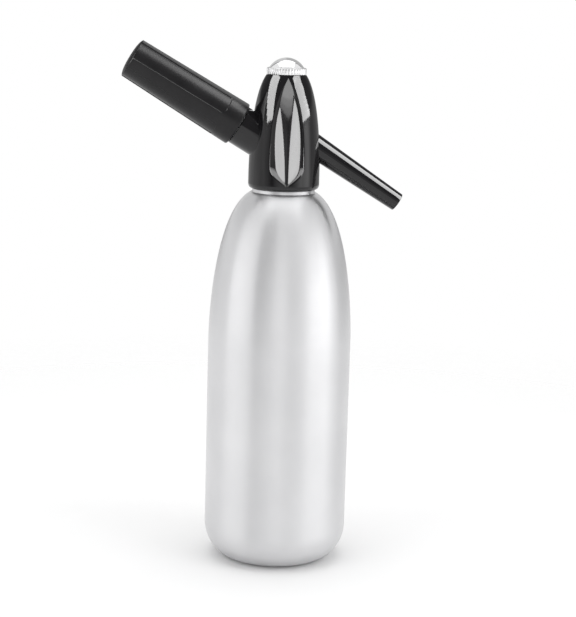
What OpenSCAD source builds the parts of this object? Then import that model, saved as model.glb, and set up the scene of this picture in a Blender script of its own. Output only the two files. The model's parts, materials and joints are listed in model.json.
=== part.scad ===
// Soda siphon: metal bottle, moulded head with spout, charger holder and press-down dome button.
// Millimetres, +Z up. The origin is on the bottle's axis, on the surface it stands on.
// The holder points to -X, the spout to +X, and the front inlay faces -Y.

/* [Bottle] */
// Outside radius of the bottle
bottle_r = 47.5; // [40:0.5:55]
// Height of the bottle up to the plane of the head's lower rim
bottle_h = 250; // [200:1:300]
// Thickness of the bottle's side wall
bottle_wall = 1.5; // [1:0.1:2.5]
// Thickness of the bottle's floor
floor_t = 2.5; // [1.5:0.1:4]
// Radius of the flat disc that the bottle stands on
foot_r = 28; // [20:0.5:36]
// Height over which the foot rounds into the side
foot_rise = 23; // [15:0.5:30]
// Height of the domed shoulder
shoulder_h = 100; // [80:1:120]
// Outside radius of the neck
neck_r = 16.6; // [15.5:0.1:17]
// Thickness of the neck's wall
neck_wall = 2; // [1.5:0.1:2.5]
// Height of the neck above the head's lower rim
neck_h = 13; // [12:0.1:14]
// Radius of the raised ring round the neck's root
root_ring_r = 20.5; // [19:0.1:21.5]

/* [Head cover] */
// Largest radius of the head cover
head_r = 23.35; // [22.9:0.05:26]
// Height of the head cover
head_h = 74; // [73:0.1:78]
// Radius of the cover's top edge
head_top_r = 13; // [12.8:0.05:14]
// Height of the rounding at the cover's lower rim
rim_h = 2.5; // [1.5:0.1:4]
// Width of the rounding at the cover's lower rim
rim_w = 2; // [1:0.1:2.5]
// Radius of the stub that the holder meets
stub_r = 13.05; // [12.7:0.05:13.6]
// Distance of the stub's end from the head's axis
stub_end = 35.6; // [33:0.1:36]

/* [Leaf inlays] */
// Width of the leaf-shaped window
leaf_w = 22.2; // [18:0.1:24]
// Height of the cover left above the window's upper tip
leaf_rim = 1.5; // [1.2:0.1:4]
// Height of the window's lower tip above the head's lower rim
leaf_z = 2.9; // [2.6:0.1:4]
// Distance of the ridge from the head's axis at the leaf's lower tip
ridge_low_r = 22.7; // [21.5:0.1:23]
// Distance of the ridge from the head's axis at the leaf's top
ridge_top_r = 13.5; // [13.2:0.1:14]
// Angle that each flank of the ridge falls back
flank_angle = 24; // [15:0.5:25]
// Gap between an inlay and its window
leaf_gap = 0.08; // [0.05:0.01:0.2]

/* [Spout] */
// Angle of the spout below level
spout_tilt = 32.7; // [25:0.1:40]
// Height above the head's rim at which the spout's line crosses the head's axis
spout_cross = 40.6; // [39:0.1:42]
// Distance of the spout's tip from the head's axis, along the spout
spout_end = 90.2; // [70:0.1:110]
// Radius of the spout where it leaves the head
spout_root_r = 7.9; // [7.6:0.05:8.5]
// Radius of the spout at its tip
spout_tip_r = 6.1; // [5.6:0.05:7]
// Radius of the spout's channel
spout_bore_r = 2.6; // [2:0.1:3.2]
// Radius of the outlet's mouth
outlet_r = 4; // [3.4:0.1:4.6]
// Depth of the outlet's mouth
outlet_l = 12; // [8:0.5:16]

/* [Charger holder] */
// Angle of the holder above level
holder_tilt = 30.8; // [25:0.1:36]
// Height above the head's rim at which the holder's line crosses the head's axis
holder_cross = 22.8; // [21:0.1:24]
// Distance of the holder's near end from the head's axis, along the holder
holder_near = 36; // [36:0.1:38]
// Length by which the holder exceeds the charger
holder_extra_l = 16.1; // [14.5:0.1:24]
// Radius of the holder at its near end
holder_near_r = 14.85; // [14:0.05:16]
// Radius of the holder at its outer end
holder_far_r = 13.35; // [13:0.05:14.5]
// Number of long shallow flutes
flute_n = 4; // [3:1:6]
// Width of a flute across the holder
flute_w = 12.8; // [8:0.1:14]
// Depth of a flute
flute_d = 0.5; // [0.3:0.05:0.7]
// Length of the plain collar before the flutes
flute_start = 12; // [8:0.5:20]
// Outside radius of the threaded sleeve in the holder
sleeve_r = 12; // [11.7:0.05:12.2]
// Radius of the threaded nose that the holder screws on
nose_r = 10.6; // [10.4:0.05:10.8]
// Distance of the nose's end from the head's axis, along the holder
nose_end = 51; // [50:0.1:52]

/* [Charger] */
// Radius of the gas charger's body
charger_r = 9.3; // [8.8:0.05:9.5]
// Length of the gas charger
charger_l = 65.5; // [62:0.1:66.5]
// Radius of the charger's neck
charger_neck_r = 4.4; // [4:0.05:4.8]
// Length of the charger's neck
charger_neck_l = 8; // [6:0.1:9]
// Thickness of the charger's wall
charger_wall = 1.2; // [0.8:0.1:1.6]

/* [Button and collar] */
// Radius of the dome button
button_r = 11.3; // [10.8:0.05:11.4]
// Height of the dome above its base
dome_h = 6.5; // [5.5:0.1:8]
// Travel of the button
button_travel = 4.5; // [3:0.1:5]
// Outside radius of the knurled collar
collar_r = 12.9; // [12.7:0.05:13.5]
// Height of the knurled band
collar_h = 4.5; // [3.5:0.1:6]
// Number of ribs in the knurl
knurl_n = 40; // [24:1:60]
// Depth of the knurl's grooves
knurl_d = 0.3; // [0.1:0.05:0.5]
// Radius of the button's stem
stem_r = 1.5; // [1.2:0.05:1.8]

/* [Tubes] */
// Outside radius of the riser tube
riser_r = 4; // [3.5:0.1:4.2]
// Bore radius of the riser tube
riser_bore_r = 2.7; // [2:0.1:3]
// Height of the riser tube's lower end above the ground
riser_z = 12; // [8:0.5:30]
// Outside radius of the measuring tube
measure_r = 9; // [8:0.1:9.2]
// Bore radius of the measuring tube
measure_bore_r = 7.8; // [7.5:0.1:7.9]
// Length of the measuring tube below its flange
measure_l = 65; // [40:1:100]

/* [Fits] */
// Gap between faces that seat on each other but can part
seat_gap = 0.1; // [0.05:0.01:0.2]
// Radial gap of a running fit
run_gap = 0.06; // [0.03:0.01:0.1]
// Radial gap of a loose fit
loose_gap = 0.3; // [0.2:0.05:0.4]

/* [Hidden] */
$fn = 96;
// Overrun of every cut past the solid that it cuts
over = 1;

// Bottle
shoulder_rise_share = 0.0825;
shoulder_full_share = 0.96;
shoulder_neck_share = 0.27;
shoulder_z = bottle_h - shoulder_h;
neck_bore_r = neck_r - neck_wall;
neck_top = bottle_h + neck_h;
curve_steps = 24;

// Stack of seals and flanges above the neck
gasket_t = 2;
flange_t = 2;
gasket_z = neck_top + seat_gap;
flange_z = gasket_z + gasket_t;
seat_z = flange_z + flange_t + seat_gap;
gas_hole_r = 1.2;
gas_holes = 6;
gas_hole_at = (riser_r + measure_bore_r) / 2 + loose_gap;
riser_collar_t = 1;

// Valve body, from the seat upwards
socket_r = neck_r + loose_gap;
socket_wall = 1.3;
body_r = socket_r + socket_wall;
skirt_top = seat_z + 0.8;
shoulder_r = body_r - 1.6;
body_lift = 1;
gas_h = 3.9;
gas_r = 12;
roof_z = seat_z + gas_h;
roof_t = 4.5;
ring_wire_r = 0.9;
ring_room = 0.2;
ring_h = 2 * ring_wire_r + ring_room;
riser_ring_z = roof_z + 1.2;
riser_top = roof_z + roof_t;
disc_r = 4.6;
disc_t = 2.1;
liquid_r = 5.5;
liquid_top = riser_top + button_travel + disc_t + 2 * ring_room;
valve_seat_t = 2;
valve_seat_r = 3;
outlet_chamber_r = 4.6;
outlet_chamber_z = liquid_top + valve_seat_t;
outlet_chamber_h = 7.3;
stem_ring_z = outlet_chamber_z + outlet_chamber_h;
guide_r = 6;
guide_z = stem_ring_z + ring_h;
guide_h = 6.5;
guide_top = guide_z + guide_h;
spring_room_r = 8.5;
tower_r = 11.3;
duct_r = 2.2;
shoulder_top = roof_z + 6;

// Head cover
head_z = bottle_h;
head_top = head_z + head_h;
cover_bore_r = body_r + loose_gap;
head_waist_shares = [0.108, 0.118];
head_bulge_shares = [1.0175, 0.788];
cover_waist_share = 0.62;
cover_waist_r_share = 0.61;
cover_top_share = 0.93;
tower_share = 0.34;
tower_top = guide_top + tower_share * (head_top - guide_top);

// Leaf outline, as shares of its half width and its height
leaf_low_shares = [[1, 0.19], [1, 0.11], [0.72, 0.08], [0, 0]];
leaf_top_shares = [[1, 0.19], [1.03, 0.53], [0.78, 0.805], [0, 1]];
ridge_low_share = 0.35;
ridge_high_share = 0.78;
ridge_bulge_r = 19.5;
ridge_upper_r = 17;
leaf_steps = 10;
leaf_h = head_h - leaf_z - leaf_rim;

// Collar and button
knurl_crest_share = 0.6;
collar_bore_r = button_r + run_gap;
collar_sleeve_r = collar_bore_r + 0.75;
collar_sleeve_z = tower_top - 7;
collar_top = head_top + collar_h;
dome_r = (button_r * button_r + dome_h * dome_h) / (2 * dome_h);
dome_wall = 1.2;
button_skirt = 6;
boss_r = 3.2;
boss_l = 7;
stem_top = collar_top + dome_h / 2;
button_under = collar_top - dome_wall;
spring_wire = 1.1;
spring_r = 5.4;
spring_turns = 7;

// Spout
spout_z = head_z + spout_cross;
spout_boss_r = 8.4;
spout_boss_end = 20.5;
spout_thread_r = 6;
spout_thread_start = 13.3;
spout_seal_t = 1;
spout_taper = (spout_root_r - spout_tip_r) / (spout_end - head_r);

// Charger side, distances along the holder's line from the head's axis
holder_z = head_z + holder_cross;
boss_arm_r = nose_r + 0.2;
plug_pocket_r = 5.7;
plug_r = plug_pocket_r - run_gap;
plug_start = 32;
plug_l = 12;
pin_bore_r = 1.2;
pin_r = 0.9;
pin_hole_r = 0.35;
pin_tip = 3;
charger_seal_t = 1.8;
charger_start = plug_start + plug_l + charger_seal_t + seat_gap;
charger_end = charger_start + charger_l;
pad_t = 1.7;
pad_start = charger_end + seat_gap;
holder_l = charger_l + holder_extra_l;
sleeve_start = holder_near + 0.5;
sleeve_step = nose_end + 1.2;
sleeve_end = pad_start + pad_t;
sleeve_bore_r = charger_r + loose_gap;
ball_r = 2;
ball_pocket_r = ball_r + run_gap;
ball_at = plug_start - sqrt(ball_r * ball_r - pin_bore_r * pin_bore_r) - seat_gap;
ball_pocket_start = 20;
check_wire = 0.5;
check_turns = 6;
gas_duct_r = 1;
gas_duct_start = 12;
ball_travel = 1.2;

// Relief valve, facing +Y
relief_z = roof_z + 1.6;
relief_seat_y = 10.5;
relief_r = 2.6;
relief_duct_y = 8.5;
relief_poppet_t = 1.4;
relief_plug_t = 1.3;
relief_wire = 0.5;
relief_turns = 2.5;

// Point of a cubic curve with control points p
function curve_at(p, t) =
    pow(1 - t, 3) * p[0] + 3 * pow(1 - t, 2) * t * p[1] + 3 * (1 - t) * t * t * p[2] + pow(t, 3) * p[3];
function curve(p, steps) = [for (i = [0:steps]) curve_at(p, i / steps)];

// Outline of the bottle's outside, drawn in by a wall
function bottle_side(wall, base) = concat(
    [for (a = [0:9:90]) [
        foot_r + (bottle_r - foot_r) * sin(a) - wall,
        base + foot_rise * (1 - cos(a))
    ]],
    curve([
        [bottle_r - wall, shoulder_z],
        [bottle_r - wall, shoulder_z + shoulder_rise_share * shoulder_h],
        [shoulder_full_share * bottle_r - wall, bottle_h - wall],
        [shoulder_neck_share * bottle_r, bottle_h - wall]
    ], curve_steps)
);

module bottle() {
    color("gainsboro")
    difference() {
        union() {
            rotate_extrude() polygon(concat([[0, 0]], bottle_side(0, 0), [[0, bottle_h]]));
            translate([0, 0, bottle_h - neck_h])
                cylinder(r = neck_r, h = 2 * neck_h);
            translate([0, 0, bottle_h - neck_h])
                cylinder(r = root_ring_r, h = neck_h - loose_gap);
        }
        rotate_extrude() polygon(concat(
            [[0, floor_t]],
            bottle_side(bottle_wall, floor_t),
            [[0, bottle_h - bottle_wall]]
        ));
        translate([0, 0, bottle_h - neck_h])
            cylinder(r = neck_bore_r, h = 2 * neck_h + over);
    }
}

module ring(outer, inner, height) {
    difference() {
        cylinder(r = outer, h = height);
        translate([0, 0, -over])
            cylinder(r = inner, h = height + 2 * over);
    }
}

module head_gasket() {
    color("dimgray")
    translate([0, 0, gasket_z])
        ring(neck_r, neck_bore_r, gasket_t);
}

module measuring_tube() {
    color("whitesmoke")
    translate([0, 0, flange_z])
    difference() {
        union() {
            cylinder(r = neck_r, h = flange_t);
            translate([0, 0, -measure_l])
                cylinder(r = measure_r, h = measure_l + flange_t / 2);
        }
        translate([0, 0, -measure_l - over])
            cylinder(r = measure_bore_r, h = measure_l + over);
        translate([0, 0, -over])
            cylinder(r = riser_r + run_gap, h = flange_t + 2 * over);
        for (i = [0:gas_holes - 1])
            rotate([0, 0, i * 360 / gas_holes])
            translate([gas_hole_at, 0, -over])
                cylinder(r = gas_hole_r, h = flange_t + 2 * over);
    }
}

module riser_tube() {
    color("white")
    difference() {
        union() {
            translate([0, 0, riser_z])
                cylinder(r = riser_r, h = riser_top - riser_z);
            translate([0, 0, flange_z + flange_t])
                cylinder(r = riser_r + riser_collar_t, h = riser_collar_t);
        }
        translate([0, 0, riser_z - over])
            cylinder(r = riser_bore_r, h = riser_top - riser_z + 2 * over);
        // Slanted foot, so that the tube can't seal itself on the floor
        translate([0, 0, riser_z])
        rotate([0, 30, 0])
            cube([4 * riser_r, 4 * riser_r, 2 * riser_r], center = true);
    }
}

// Places children with +Z along the holder or along the spout, measured from the head's axis
module along_holder() {
    translate([0, 0, holder_z])
    rotate([0, holder_tilt - 90, 0])
        children();
}

module along_spout() {
    translate([0, 0, spout_z])
    rotate([0, spout_tilt + 90, 0])
        children();
}

module valve_body() {
    color("darkgray")
    difference() {
        union() {
            translate([0, 0, head_z + body_lift])
                cylinder(r = body_r, h = skirt_top - head_z - body_lift);
            translate([0, 0, skirt_top])
                cylinder(r1 = body_r, r2 = shoulder_r, h = body_r - shoulder_r);
            translate([0, 0, seat_z])
                cylinder(r = shoulder_r, h = shoulder_top - seat_z);
            translate([0, 0, seat_z])
                cylinder(r = tower_r, h = tower_top - seat_z);
            along_spout()
                cylinder(r = spout_boss_r, h = spout_boss_end);
            intersection() {
                along_holder()
                    cylinder(r = boss_arm_r, h = stub_end);
                translate([-nose_end, -nose_end, seat_z])
                    cube([nose_end, 2 * nose_end, head_h]);
            }
            along_holder()
            translate([0, 0, stub_end - over])
                cylinder(r = nose_r, h = nose_end - stub_end + over);
        }
        // Socket for the neck
        translate([0, 0, head_z])
            cylinder(r = socket_r, h = seat_z - head_z);
        // Gas chamber over the measuring tube
        translate([0, 0, seat_z - over])
            cylinder(r = gas_r, h = gas_h + over);
        // Riser tube and its ring
        translate([0, 0, seat_z])
            cylinder(r = riser_r + run_gap, h = riser_top - seat_z + over / 2);
        translate([0, 0, riser_ring_z])
            cylinder(r = riser_r + ring_h, h = ring_h);
        // Chambers below and above the valve seat
        translate([0, 0, riser_top])
            cylinder(r = liquid_r, h = liquid_top - riser_top);
        translate([0, 0, liquid_top - over])
            cylinder(r = valve_seat_r, h = valve_seat_t + 2 * over);
        translate([0, 0, outlet_chamber_z])
            cylinder(r = outlet_chamber_r, h = outlet_chamber_h - over / 2);
        translate([0, 0, outlet_chamber_z])
            cylinder(r = stem_r + 2 * ring_wire_r + 3 * run_gap, h = outlet_chamber_h + ring_h + over);
        // Threaded bore for the stem guide, and room for the spring
        translate([0, 0, guide_z])
            cylinder(r = guide_r + run_gap, h = tower_top - guide_z + over);
        translate([0, 0, guide_top - over])
            cylinder(r = spring_room_r, h = tower_top - guide_top + 2 * over);
        // Spout channel and socket
        along_spout()
            cylinder(r = duct_r, h = spout_boss_end);
        along_spout()
        translate([0, 0, spout_thread_start - spout_seal_t])
            cylinder(r = spout_thread_r + run_gap, h = spout_boss_end);
        along_spout()
        translate([0, 0, spout_boss_end])
            cylinder(r = spout_root_r + loose_gap, h = body_r);
        // Gas way from the charger
        along_holder()
        translate([0, 0, plug_start])
            cylinder(r = plug_pocket_r, h = nose_end);
        along_holder()
        translate([0, 0, ball_pocket_start])
            cylinder(r = ball_pocket_r, h = plug_start - ball_pocket_start + over);
        along_holder()
        translate([0, 0, gas_duct_start])
            cylinder(r = gas_duct_r, h = ball_pocket_start);
        translate([
            -gas_duct_start * cos(holder_tilt),
            0,
            roof_z - over
        ])
            cylinder(r = gas_duct_r, h = holder_z + gas_duct_start * sin(holder_tilt) - roof_z + over);
        // Relief valve
        translate([0, relief_duct_y, roof_z - over])
            cylinder(r = gas_duct_r, h = relief_z - roof_z + over);
        translate([0, relief_duct_y, relief_z])
        rotate([-90, 0, 0])
            cylinder(r = gas_duct_r, h = body_r);
        translate([0, relief_seat_y, relief_z])
        rotate([-90, 0, 0])
            cylinder(r = relief_r + run_gap, h = body_r);
    }
}

// Outline of the cover's outside, from the lower rim to the top edge
function head_side() = concat(
    [for (a = [0:15:75]) [
        head_r - rim_w * (1 - sin(a)),
        head_z + rim_h * (1 - cos(a))
    ]],
    curve([
        [head_r, head_z + head_waist_shares[0] * head_h],
        [head_r, head_z + head_waist_shares[1] * head_h],
        [head_bulge_shares[0] * head_r, head_z + head_bulge_shares[1] * head_h],
        [head_top_r, head_top]
    ], curve_steps - 2)
);

// Space inside the cover
module cover_room() {
    rotate_extrude() polygon([
        [0, head_z - over],
        [cover_bore_r, head_z - over],
        [cover_bore_r, skirt_top + loose_gap],
        [shoulder_r + loose_gap, skirt_top + loose_gap + body_r - shoulder_r],
        [shoulder_r + loose_gap, shoulder_top + over],
        [cover_waist_r_share * head_r, head_z + cover_waist_share * head_h],
        [collar_sleeve_r + run_gap, head_z + cover_top_share * head_h],
        [collar_sleeve_r + run_gap, head_top + over],
        [0, head_top + over]
    ]);
}

// Leaf outline drawn in by a gap, as a prism through the front of the cover
module leaf_prism(gap) {
    low = curve([for (p = leaf_low_shares) leaf_point(p, gap)], leaf_steps);
    top = curve([for (p = leaf_top_shares) leaf_point(p, gap)], leaf_steps);
    right = concat([for (i = [leaf_steps:-1:1]) low[i]], top);
    left = [for (i = [len(right) - 2:-1:1]) [-right[i][0], right[i][1]]];
    translate([0, 0, head_z + leaf_z])
    rotate([90, 0, 0])
        linear_extrude(height = head_r + over)
            polygon(concat(right, left));
}

function leaf_point(p, gap) = [
    p[0] * (leaf_w / 2 - gap),
    gap + p[1] * (leaf_h - 2 * gap)
];

module head_cover() {
    color("#1c1b1d")
    difference() {
        union() {
            rotate_extrude() polygon(concat([[0, head_z]], head_side(), [[0, head_top]]));
            along_holder()
            translate([0, 0, cover_bore_r])
                cylinder(r = stub_r, h = stub_end - cover_bore_r);
        }
        cover_room();
        leaf_prism(0);
        mirror([0, 1, 0]) leaf_prism(0);
        along_spout()
            cylinder(r = spout_boss_r + run_gap, h = spout_boss_end + seat_gap);
        along_spout()
        translate([0, 0, spout_boss_end - over])
            cylinder(r = spout_root_r + loose_gap, h = head_r);
        along_holder()
            cylinder(r = boss_arm_r + run_gap, h = stub_end + over);
    }
}

// Space behind one flank of the ridge, as a slab that the side profile of the ridge bounds
module flank() {
    z = head_z + leaf_z;
    ridge = curve([
        [ridge_low_r, z],
        [ridge_bulge_r, z + ridge_low_share * leaf_h],
        [ridge_upper_r, z + ridge_high_share * leaf_h],
        [ridge_top_r, z + leaf_h]
    ], leaf_steps);
    side = [for (p = ridge) [p[0] * cos(flank_angle), p[1]]];
    rotate([0, 0, -90])
    rotate([90, 0, 0])
        linear_extrude(height = 2 * head_r, center = true)
            polygon(concat([[0, z]], side, [[0, z + leaf_h]]));
}

module inlay() {
    color("#242326")
    difference() {
        intersection() {
            leaf_prism(leaf_gap);
            rotate([0, 0, flank_angle]) flank();
            rotate([0, 0, -flank_angle]) flank();
        }
        cover_room();
    }
}

module front_inlay() {
    inlay();
}

module rear_inlay() {
    mirror([0, 1, 0]) inlay();
}

// Point of the knurl at radius r, with its place counted in ribs
function rim_point(r, ribs) = [r * cos(ribs * 360 / knurl_n), r * sin(ribs * 360 / knurl_n)];

module knurled_collar() {
    color("silver")
    difference() {
        union() {
            translate([0, 0, head_top])
            linear_extrude(height = collar_h)
                polygon([for (i = [0:knurl_n - 1]) each [
                    rim_point(collar_r, i),
                    rim_point(collar_r, i + knurl_crest_share),
                    rim_point(collar_r - knurl_d, i + (1 + knurl_crest_share) / 2)
                ]]);
            translate([0, 0, collar_sleeve_z])
                cylinder(r = collar_sleeve_r, h = head_top - collar_sleeve_z + over);
        }
        translate([0, 0, collar_sleeve_z - over])
            cylinder(r = collar_bore_r, h = collar_top - collar_sleeve_z + 2 * over);
    }
}

module stem_guide() {
    color("khaki")
    translate([0, 0, guide_z])
        ring(guide_r, stem_r + run_gap, guide_h);
}

// Round sealing ring that fits on a shaft
module seal_ring(shaft_r) {
    rotate_extrude()
    translate([shaft_r + run_gap + ring_wire_r, 0])
        circle(r = ring_wire_r, $fn = 24);
}

module stem_seal() {
    color("dimgray")
    translate([0, 0, stem_ring_z + ring_h / 2])
        seal_ring(stem_r);
}

module riser_seal() {
    color("dimgray")
    translate([0, 0, riser_ring_z + ring_h / 2])
        seal_ring(riser_r);
}

module spout() {
    color("#1c1b1d")
    along_spout()
    difference() {
        union() {
            translate([0, 0, spout_thread_start])
                cylinder(r = spout_thread_r, h = spout_boss_end);
            translate([0, 0, spout_boss_end])
                cylinder(
                    r1 = spout_root_r + spout_taper * (head_r - spout_boss_end),
                    r2 = spout_tip_r,
                    h = spout_end - spout_boss_end
                );
        }
        cylinder(r = spout_bore_r, h = spout_end + over);
        translate([0, 0, spout_end - outlet_l])
            cylinder(r = outlet_r, h = outlet_l + over);
    }
}

module spout_seal() {
    color("dimgray")
    along_spout()
    translate([0, 0, spout_thread_start - spout_seal_t])
        ring(spout_thread_r - run_gap, spout_bore_r, spout_seal_t);
}

module pin_holder() {
    color("goldenrod")
    along_holder()
    translate([0, 0, plug_start])
    difference() {
        cylinder(r = plug_r, h = plug_l);
        translate([0, 0, -over])
            cylinder(r = pin_bore_r, h = plug_l + 2 * over);
        translate([0, 0, plug_l / 2])
            cylinder(r = 2 * pin_r, h = plug_l);
    }
}

module piercing_pin() {
    color("lightsteelblue")
    along_holder()
    translate([0, 0, plug_start + plug_l / 2])
    difference() {
        union() {
            cylinder(r = 2 * pin_r, h = plug_l / 2);
            cylinder(r = pin_r, h = plug_l / 2 + charger_seal_t + pin_tip / 2);
            translate([0, 0, plug_l / 2 + charger_seal_t + pin_tip / 2])
                cylinder(r1 = pin_r, r2 = pin_hole_r + pin_r / 6, h = pin_tip / 2);
        }
        translate([0, 0, -over])
            cylinder(r = pin_hole_r, h = plug_l + pin_tip + 2 * over);
    }
}

module charger_gasket() {
    color("dimgray")
    along_holder()
    translate([0, 0, plug_start + plug_l])
        ring(plug_r - run_gap, pin_r + loose_gap, charger_seal_t);
}

// Coil spring standing on z = 0, swept as one tube of six sides
coil_rings = 8;
coil_sides = 6;

function coil_point(r, wire_r, length, turns, ring, side) =
    let (
        a = ring * 360 / coil_rings,
        b = side * 360 / coil_sides,
        lean = atan((length - 2 * wire_r) / (turns * 2 * PI * r)),
        out = wire_r * cos(b),
        up = wire_r * sin(b)
    )
    [
        (r + out) * cos(a) + up * sin(a) * sin(lean),
        (r + out) * sin(a) - up * cos(a) * sin(lean),
        wire_r + (length - 2 * wire_r) * ring / (turns * coil_rings) + up * cos(lean)
    ];

module coil(r, wire_r, length, turns) {
    rings = turns * coil_rings;
    points = [for (i = [0:rings]) for (j = [0:coil_sides - 1])
        coil_point(r, wire_r, length, turns, i, j)];
    sides = [for (i = [0:rings - 1]) for (j = [0:coil_sides - 1])
        let (
            a = i * coil_sides + j,
            b = i * coil_sides + (j + 1) % coil_sides
        )
        each [[a, a + coil_sides, b], [b, a + coil_sides, b + coil_sides]]];
    low = [for (j = [1:coil_sides - 2]) [0, j, j + 1]];
    last = rings * coil_sides;
    high = [for (j = [1:coil_sides - 2]) [last, last + j + 1, last + j]];
    polyhedron(points = points, faces = concat(sides, low, high));
}

function coil_gap(length, wire_r, turns) = (length - 2 * wire_r) / turns - 2 * wire_r;

return_spring_l = button_under - guide_top - 2 * seat_gap;
check_spring_l = ball_at - ball_r - ball_pocket_start - 2 * seat_gap;
relief_spring_l = shoulder_r - relief_plug_t - relief_seat_y - relief_poppet_t - 3 * seat_gap;
echo(return_gap = coil_gap(return_spring_l, spring_wire / 2, spring_turns));
echo(check_gap = coil_gap(check_spring_l, check_wire / 2, check_turns));
echo(relief_gap = coil_gap(relief_spring_l, relief_wire / 2, relief_turns));

module return_spring() {
    color("silver")
    translate([0, 0, guide_top + seat_gap])
        coil(spring_r, spring_wire / 2, return_spring_l, spring_turns);
}

module check_spring() {
    color("silver")
    along_holder()
    translate([0, 0, ball_pocket_start + seat_gap])
        coil(ball_r - check_wire, check_wire / 2, check_spring_l, check_turns);
}

module relief_spring() {
    color("silver")
    translate([0, relief_seat_y + relief_poppet_t + 2 * seat_gap, relief_z])
    rotate([-90, 0, 0])
        coil(relief_r - 2 * relief_wire, relief_wire / 2, relief_spring_l, relief_turns);
}

module relief_plug() {
    color("goldenrod")
    translate([0, shoulder_r - relief_plug_t, relief_z])
    rotate([-90, 0, 0])
        ring(relief_r, gas_duct_r, relief_plug_t);
}

module relief_poppet() {
    color("dimgray")
    translate([0, relief_seat_y + seat_gap, relief_z])
    rotate([-90, 0, 0])
        cylinder(r = relief_r - run_gap, h = relief_poppet_t);
}

module dome_button() {
    color("silver")
    difference() {
        union() {
            intersection() {
                translate([0, 0, collar_top + dome_h - dome_r])
                    sphere(r = dome_r);
                translate([0, 0, collar_top])
                    cylinder(r = button_r, h = dome_h + over);
            }
            translate([0, 0, collar_top - button_skirt])
                ring(button_r, button_r - dome_wall, button_skirt);
            translate([0, 0, button_under])
                cylinder(r = button_r, h = dome_wall);
            translate([0, 0, collar_top - boss_l])
                cylinder(r = boss_r, h = boss_l);
        }
        translate([0, 0, collar_top - boss_l - over])
            cylinder(r = stem_r, h = stem_top - collar_top + boss_l + over);
    }
}

module button_stem() {
    color("lightsteelblue")
    union() {
        translate([0, 0, liquid_top - disc_t - ring_room])
            cylinder(r = stem_r, h = stem_top - liquid_top + disc_t + ring_room);
        translate([0, 0, liquid_top - disc_t - ring_room])
            cylinder(r = 2 * stem_r, h = ring_room);
    }
}

module valve_disc() {
    color("dimgray")
    translate([0, 0, liquid_top - disc_t])
        ring(disc_r, stem_r, disc_t - seat_gap);
}

module check_ball() {
    color("lightsteelblue")
    along_holder()
    translate([0, 0, ball_at])
        sphere(r = ball_r);
}

module charger() {
    shoulder = charger_r - charger_neck_r;
    neck_wall_in = charger_neck_r - charger_wall;
    color("silver")
    along_holder()
    translate([0, 0, charger_start])
    difference() {
        rotate_extrude() polygon(concat(
            [[0, 0], [charger_neck_r, 0], [charger_neck_r, charger_neck_l]],
            [for (a = [0:15:90]) [
                charger_neck_r + shoulder * sin(a),
                charger_neck_l + 2 * shoulder * (1 - cos(a))
            ]],
            [for (a = [0:15:90]) [
                charger_r * cos(a),
                charger_l - charger_r + charger_r * sin(a)
            ]]
        ));
        translate([0, 0, charger_wall / 2])
            cylinder(r = neck_wall_in, h = charger_neck_l + shoulder);
        translate([0, 0, charger_neck_l + 2 * shoulder])
            cylinder(r = charger_r - charger_wall, h = charger_l - charger_neck_l - 2 * shoulder - charger_r);
        translate([0, 0, charger_neck_l + shoulder / 2])
            cylinder(r1 = neck_wall_in, r2 = charger_r - charger_wall, h = 1.5 * shoulder);
        translate([0, 0, -over])
            cylinder(r = pin_bore_r, h = 2 * over + charger_wall);
    }
}

module holder_pad() {
    color("dimgray")
    along_holder()
    translate([0, 0, pad_start])
        cylinder(r = sleeve_bore_r - run_gap, h = pad_t - run_gap);
}

// Rounded plan of one flute, seen along its radius, with the holder's line along +Y
module flute_plan() {
    corner = flute_w / 5;
    start = flute_start;
    end = holder_l + over;
    polygon(concat(
        [for (a = [180:30:270]) [corner - flute_w / 2 + corner * cos(a), start + corner + corner * sin(a)]],
        [for (a = [270:30:360]) [flute_w / 2 - corner + corner * cos(a), start + corner + corner * sin(a)]],
        [[flute_w / 2, end], [-flute_w / 2, end]]
    ));
}

module charger_holder() {
    edge = 0.9;
    slope = (holder_near_r - holder_far_r) / holder_l;
    first_flute = -58;
    color("#2b2a2c")
    along_holder()
    translate([0, 0, holder_near])
    difference() {
        rotate_extrude() polygon([
            [0, 0],
            [holder_near_r - edge, 0],
            [holder_near_r, edge],
            [holder_far_r + slope * 2 * edge, holder_l - 2 * edge],
            [holder_far_r - edge / 2, holder_l - edge / 2],
            [holder_far_r - 2 * edge, holder_l],
            [0, holder_l]
        ]);
        translate([0, 0, -over])
            cylinder(r = sleeve_r + run_gap, h = sleeve_end - holder_near + over);
        for (i = [0:flute_n - 1])
            rotate([0, 0, first_flute + i * 360 / flute_n])
            difference() {
                intersection() {
                    rotate([90, 0, 90])
                        linear_extrude(height = 2 * holder_near_r)
                            flute_plan();
                    cylinder(r = holder_near_r + over, h = holder_l + 2 * over);
                }
                translate([0, 0, -over])
                    cylinder(
                        r1 = holder_near_r - flute_d + slope * over,
                        r2 = holder_far_r - flute_d - 2 * slope * over,
                        h = holder_l + 3 * over
                    );
            }
    }
}

module holder_sleeve() {
    color("silver")
    along_holder()
    difference() {
        translate([0, 0, sleeve_start])
            cylinder(r = sleeve_r, h = sleeve_end - sleeve_start);
        translate([0, 0, sleeve_start - over])
            cylinder(r = sleeve_bore_r, h = sleeve_end - sleeve_start + 2 * over);
        translate([0, 0, sleeve_start - over])
            cylinder(r = nose_r + loose_gap, h = sleeve_step - sleeve_start + over);
    }
}

bottle();
head_gasket();
measuring_tube();
riser_tube();
valve_body();
head_cover();
front_inlay();
rear_inlay();
knurled_collar();
stem_guide();
stem_seal();
riser_seal();
spout();
spout_seal();
pin_holder();
piercing_pin();
charger_gasket();
return_spring();
check_spring();
relief_spring();
relief_plug();
dome_button();
button_stem();
valve_disc();
check_ball();
relief_poppet();
charger();
holder_pad();
charger_holder();
holder_sleeve();
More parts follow.
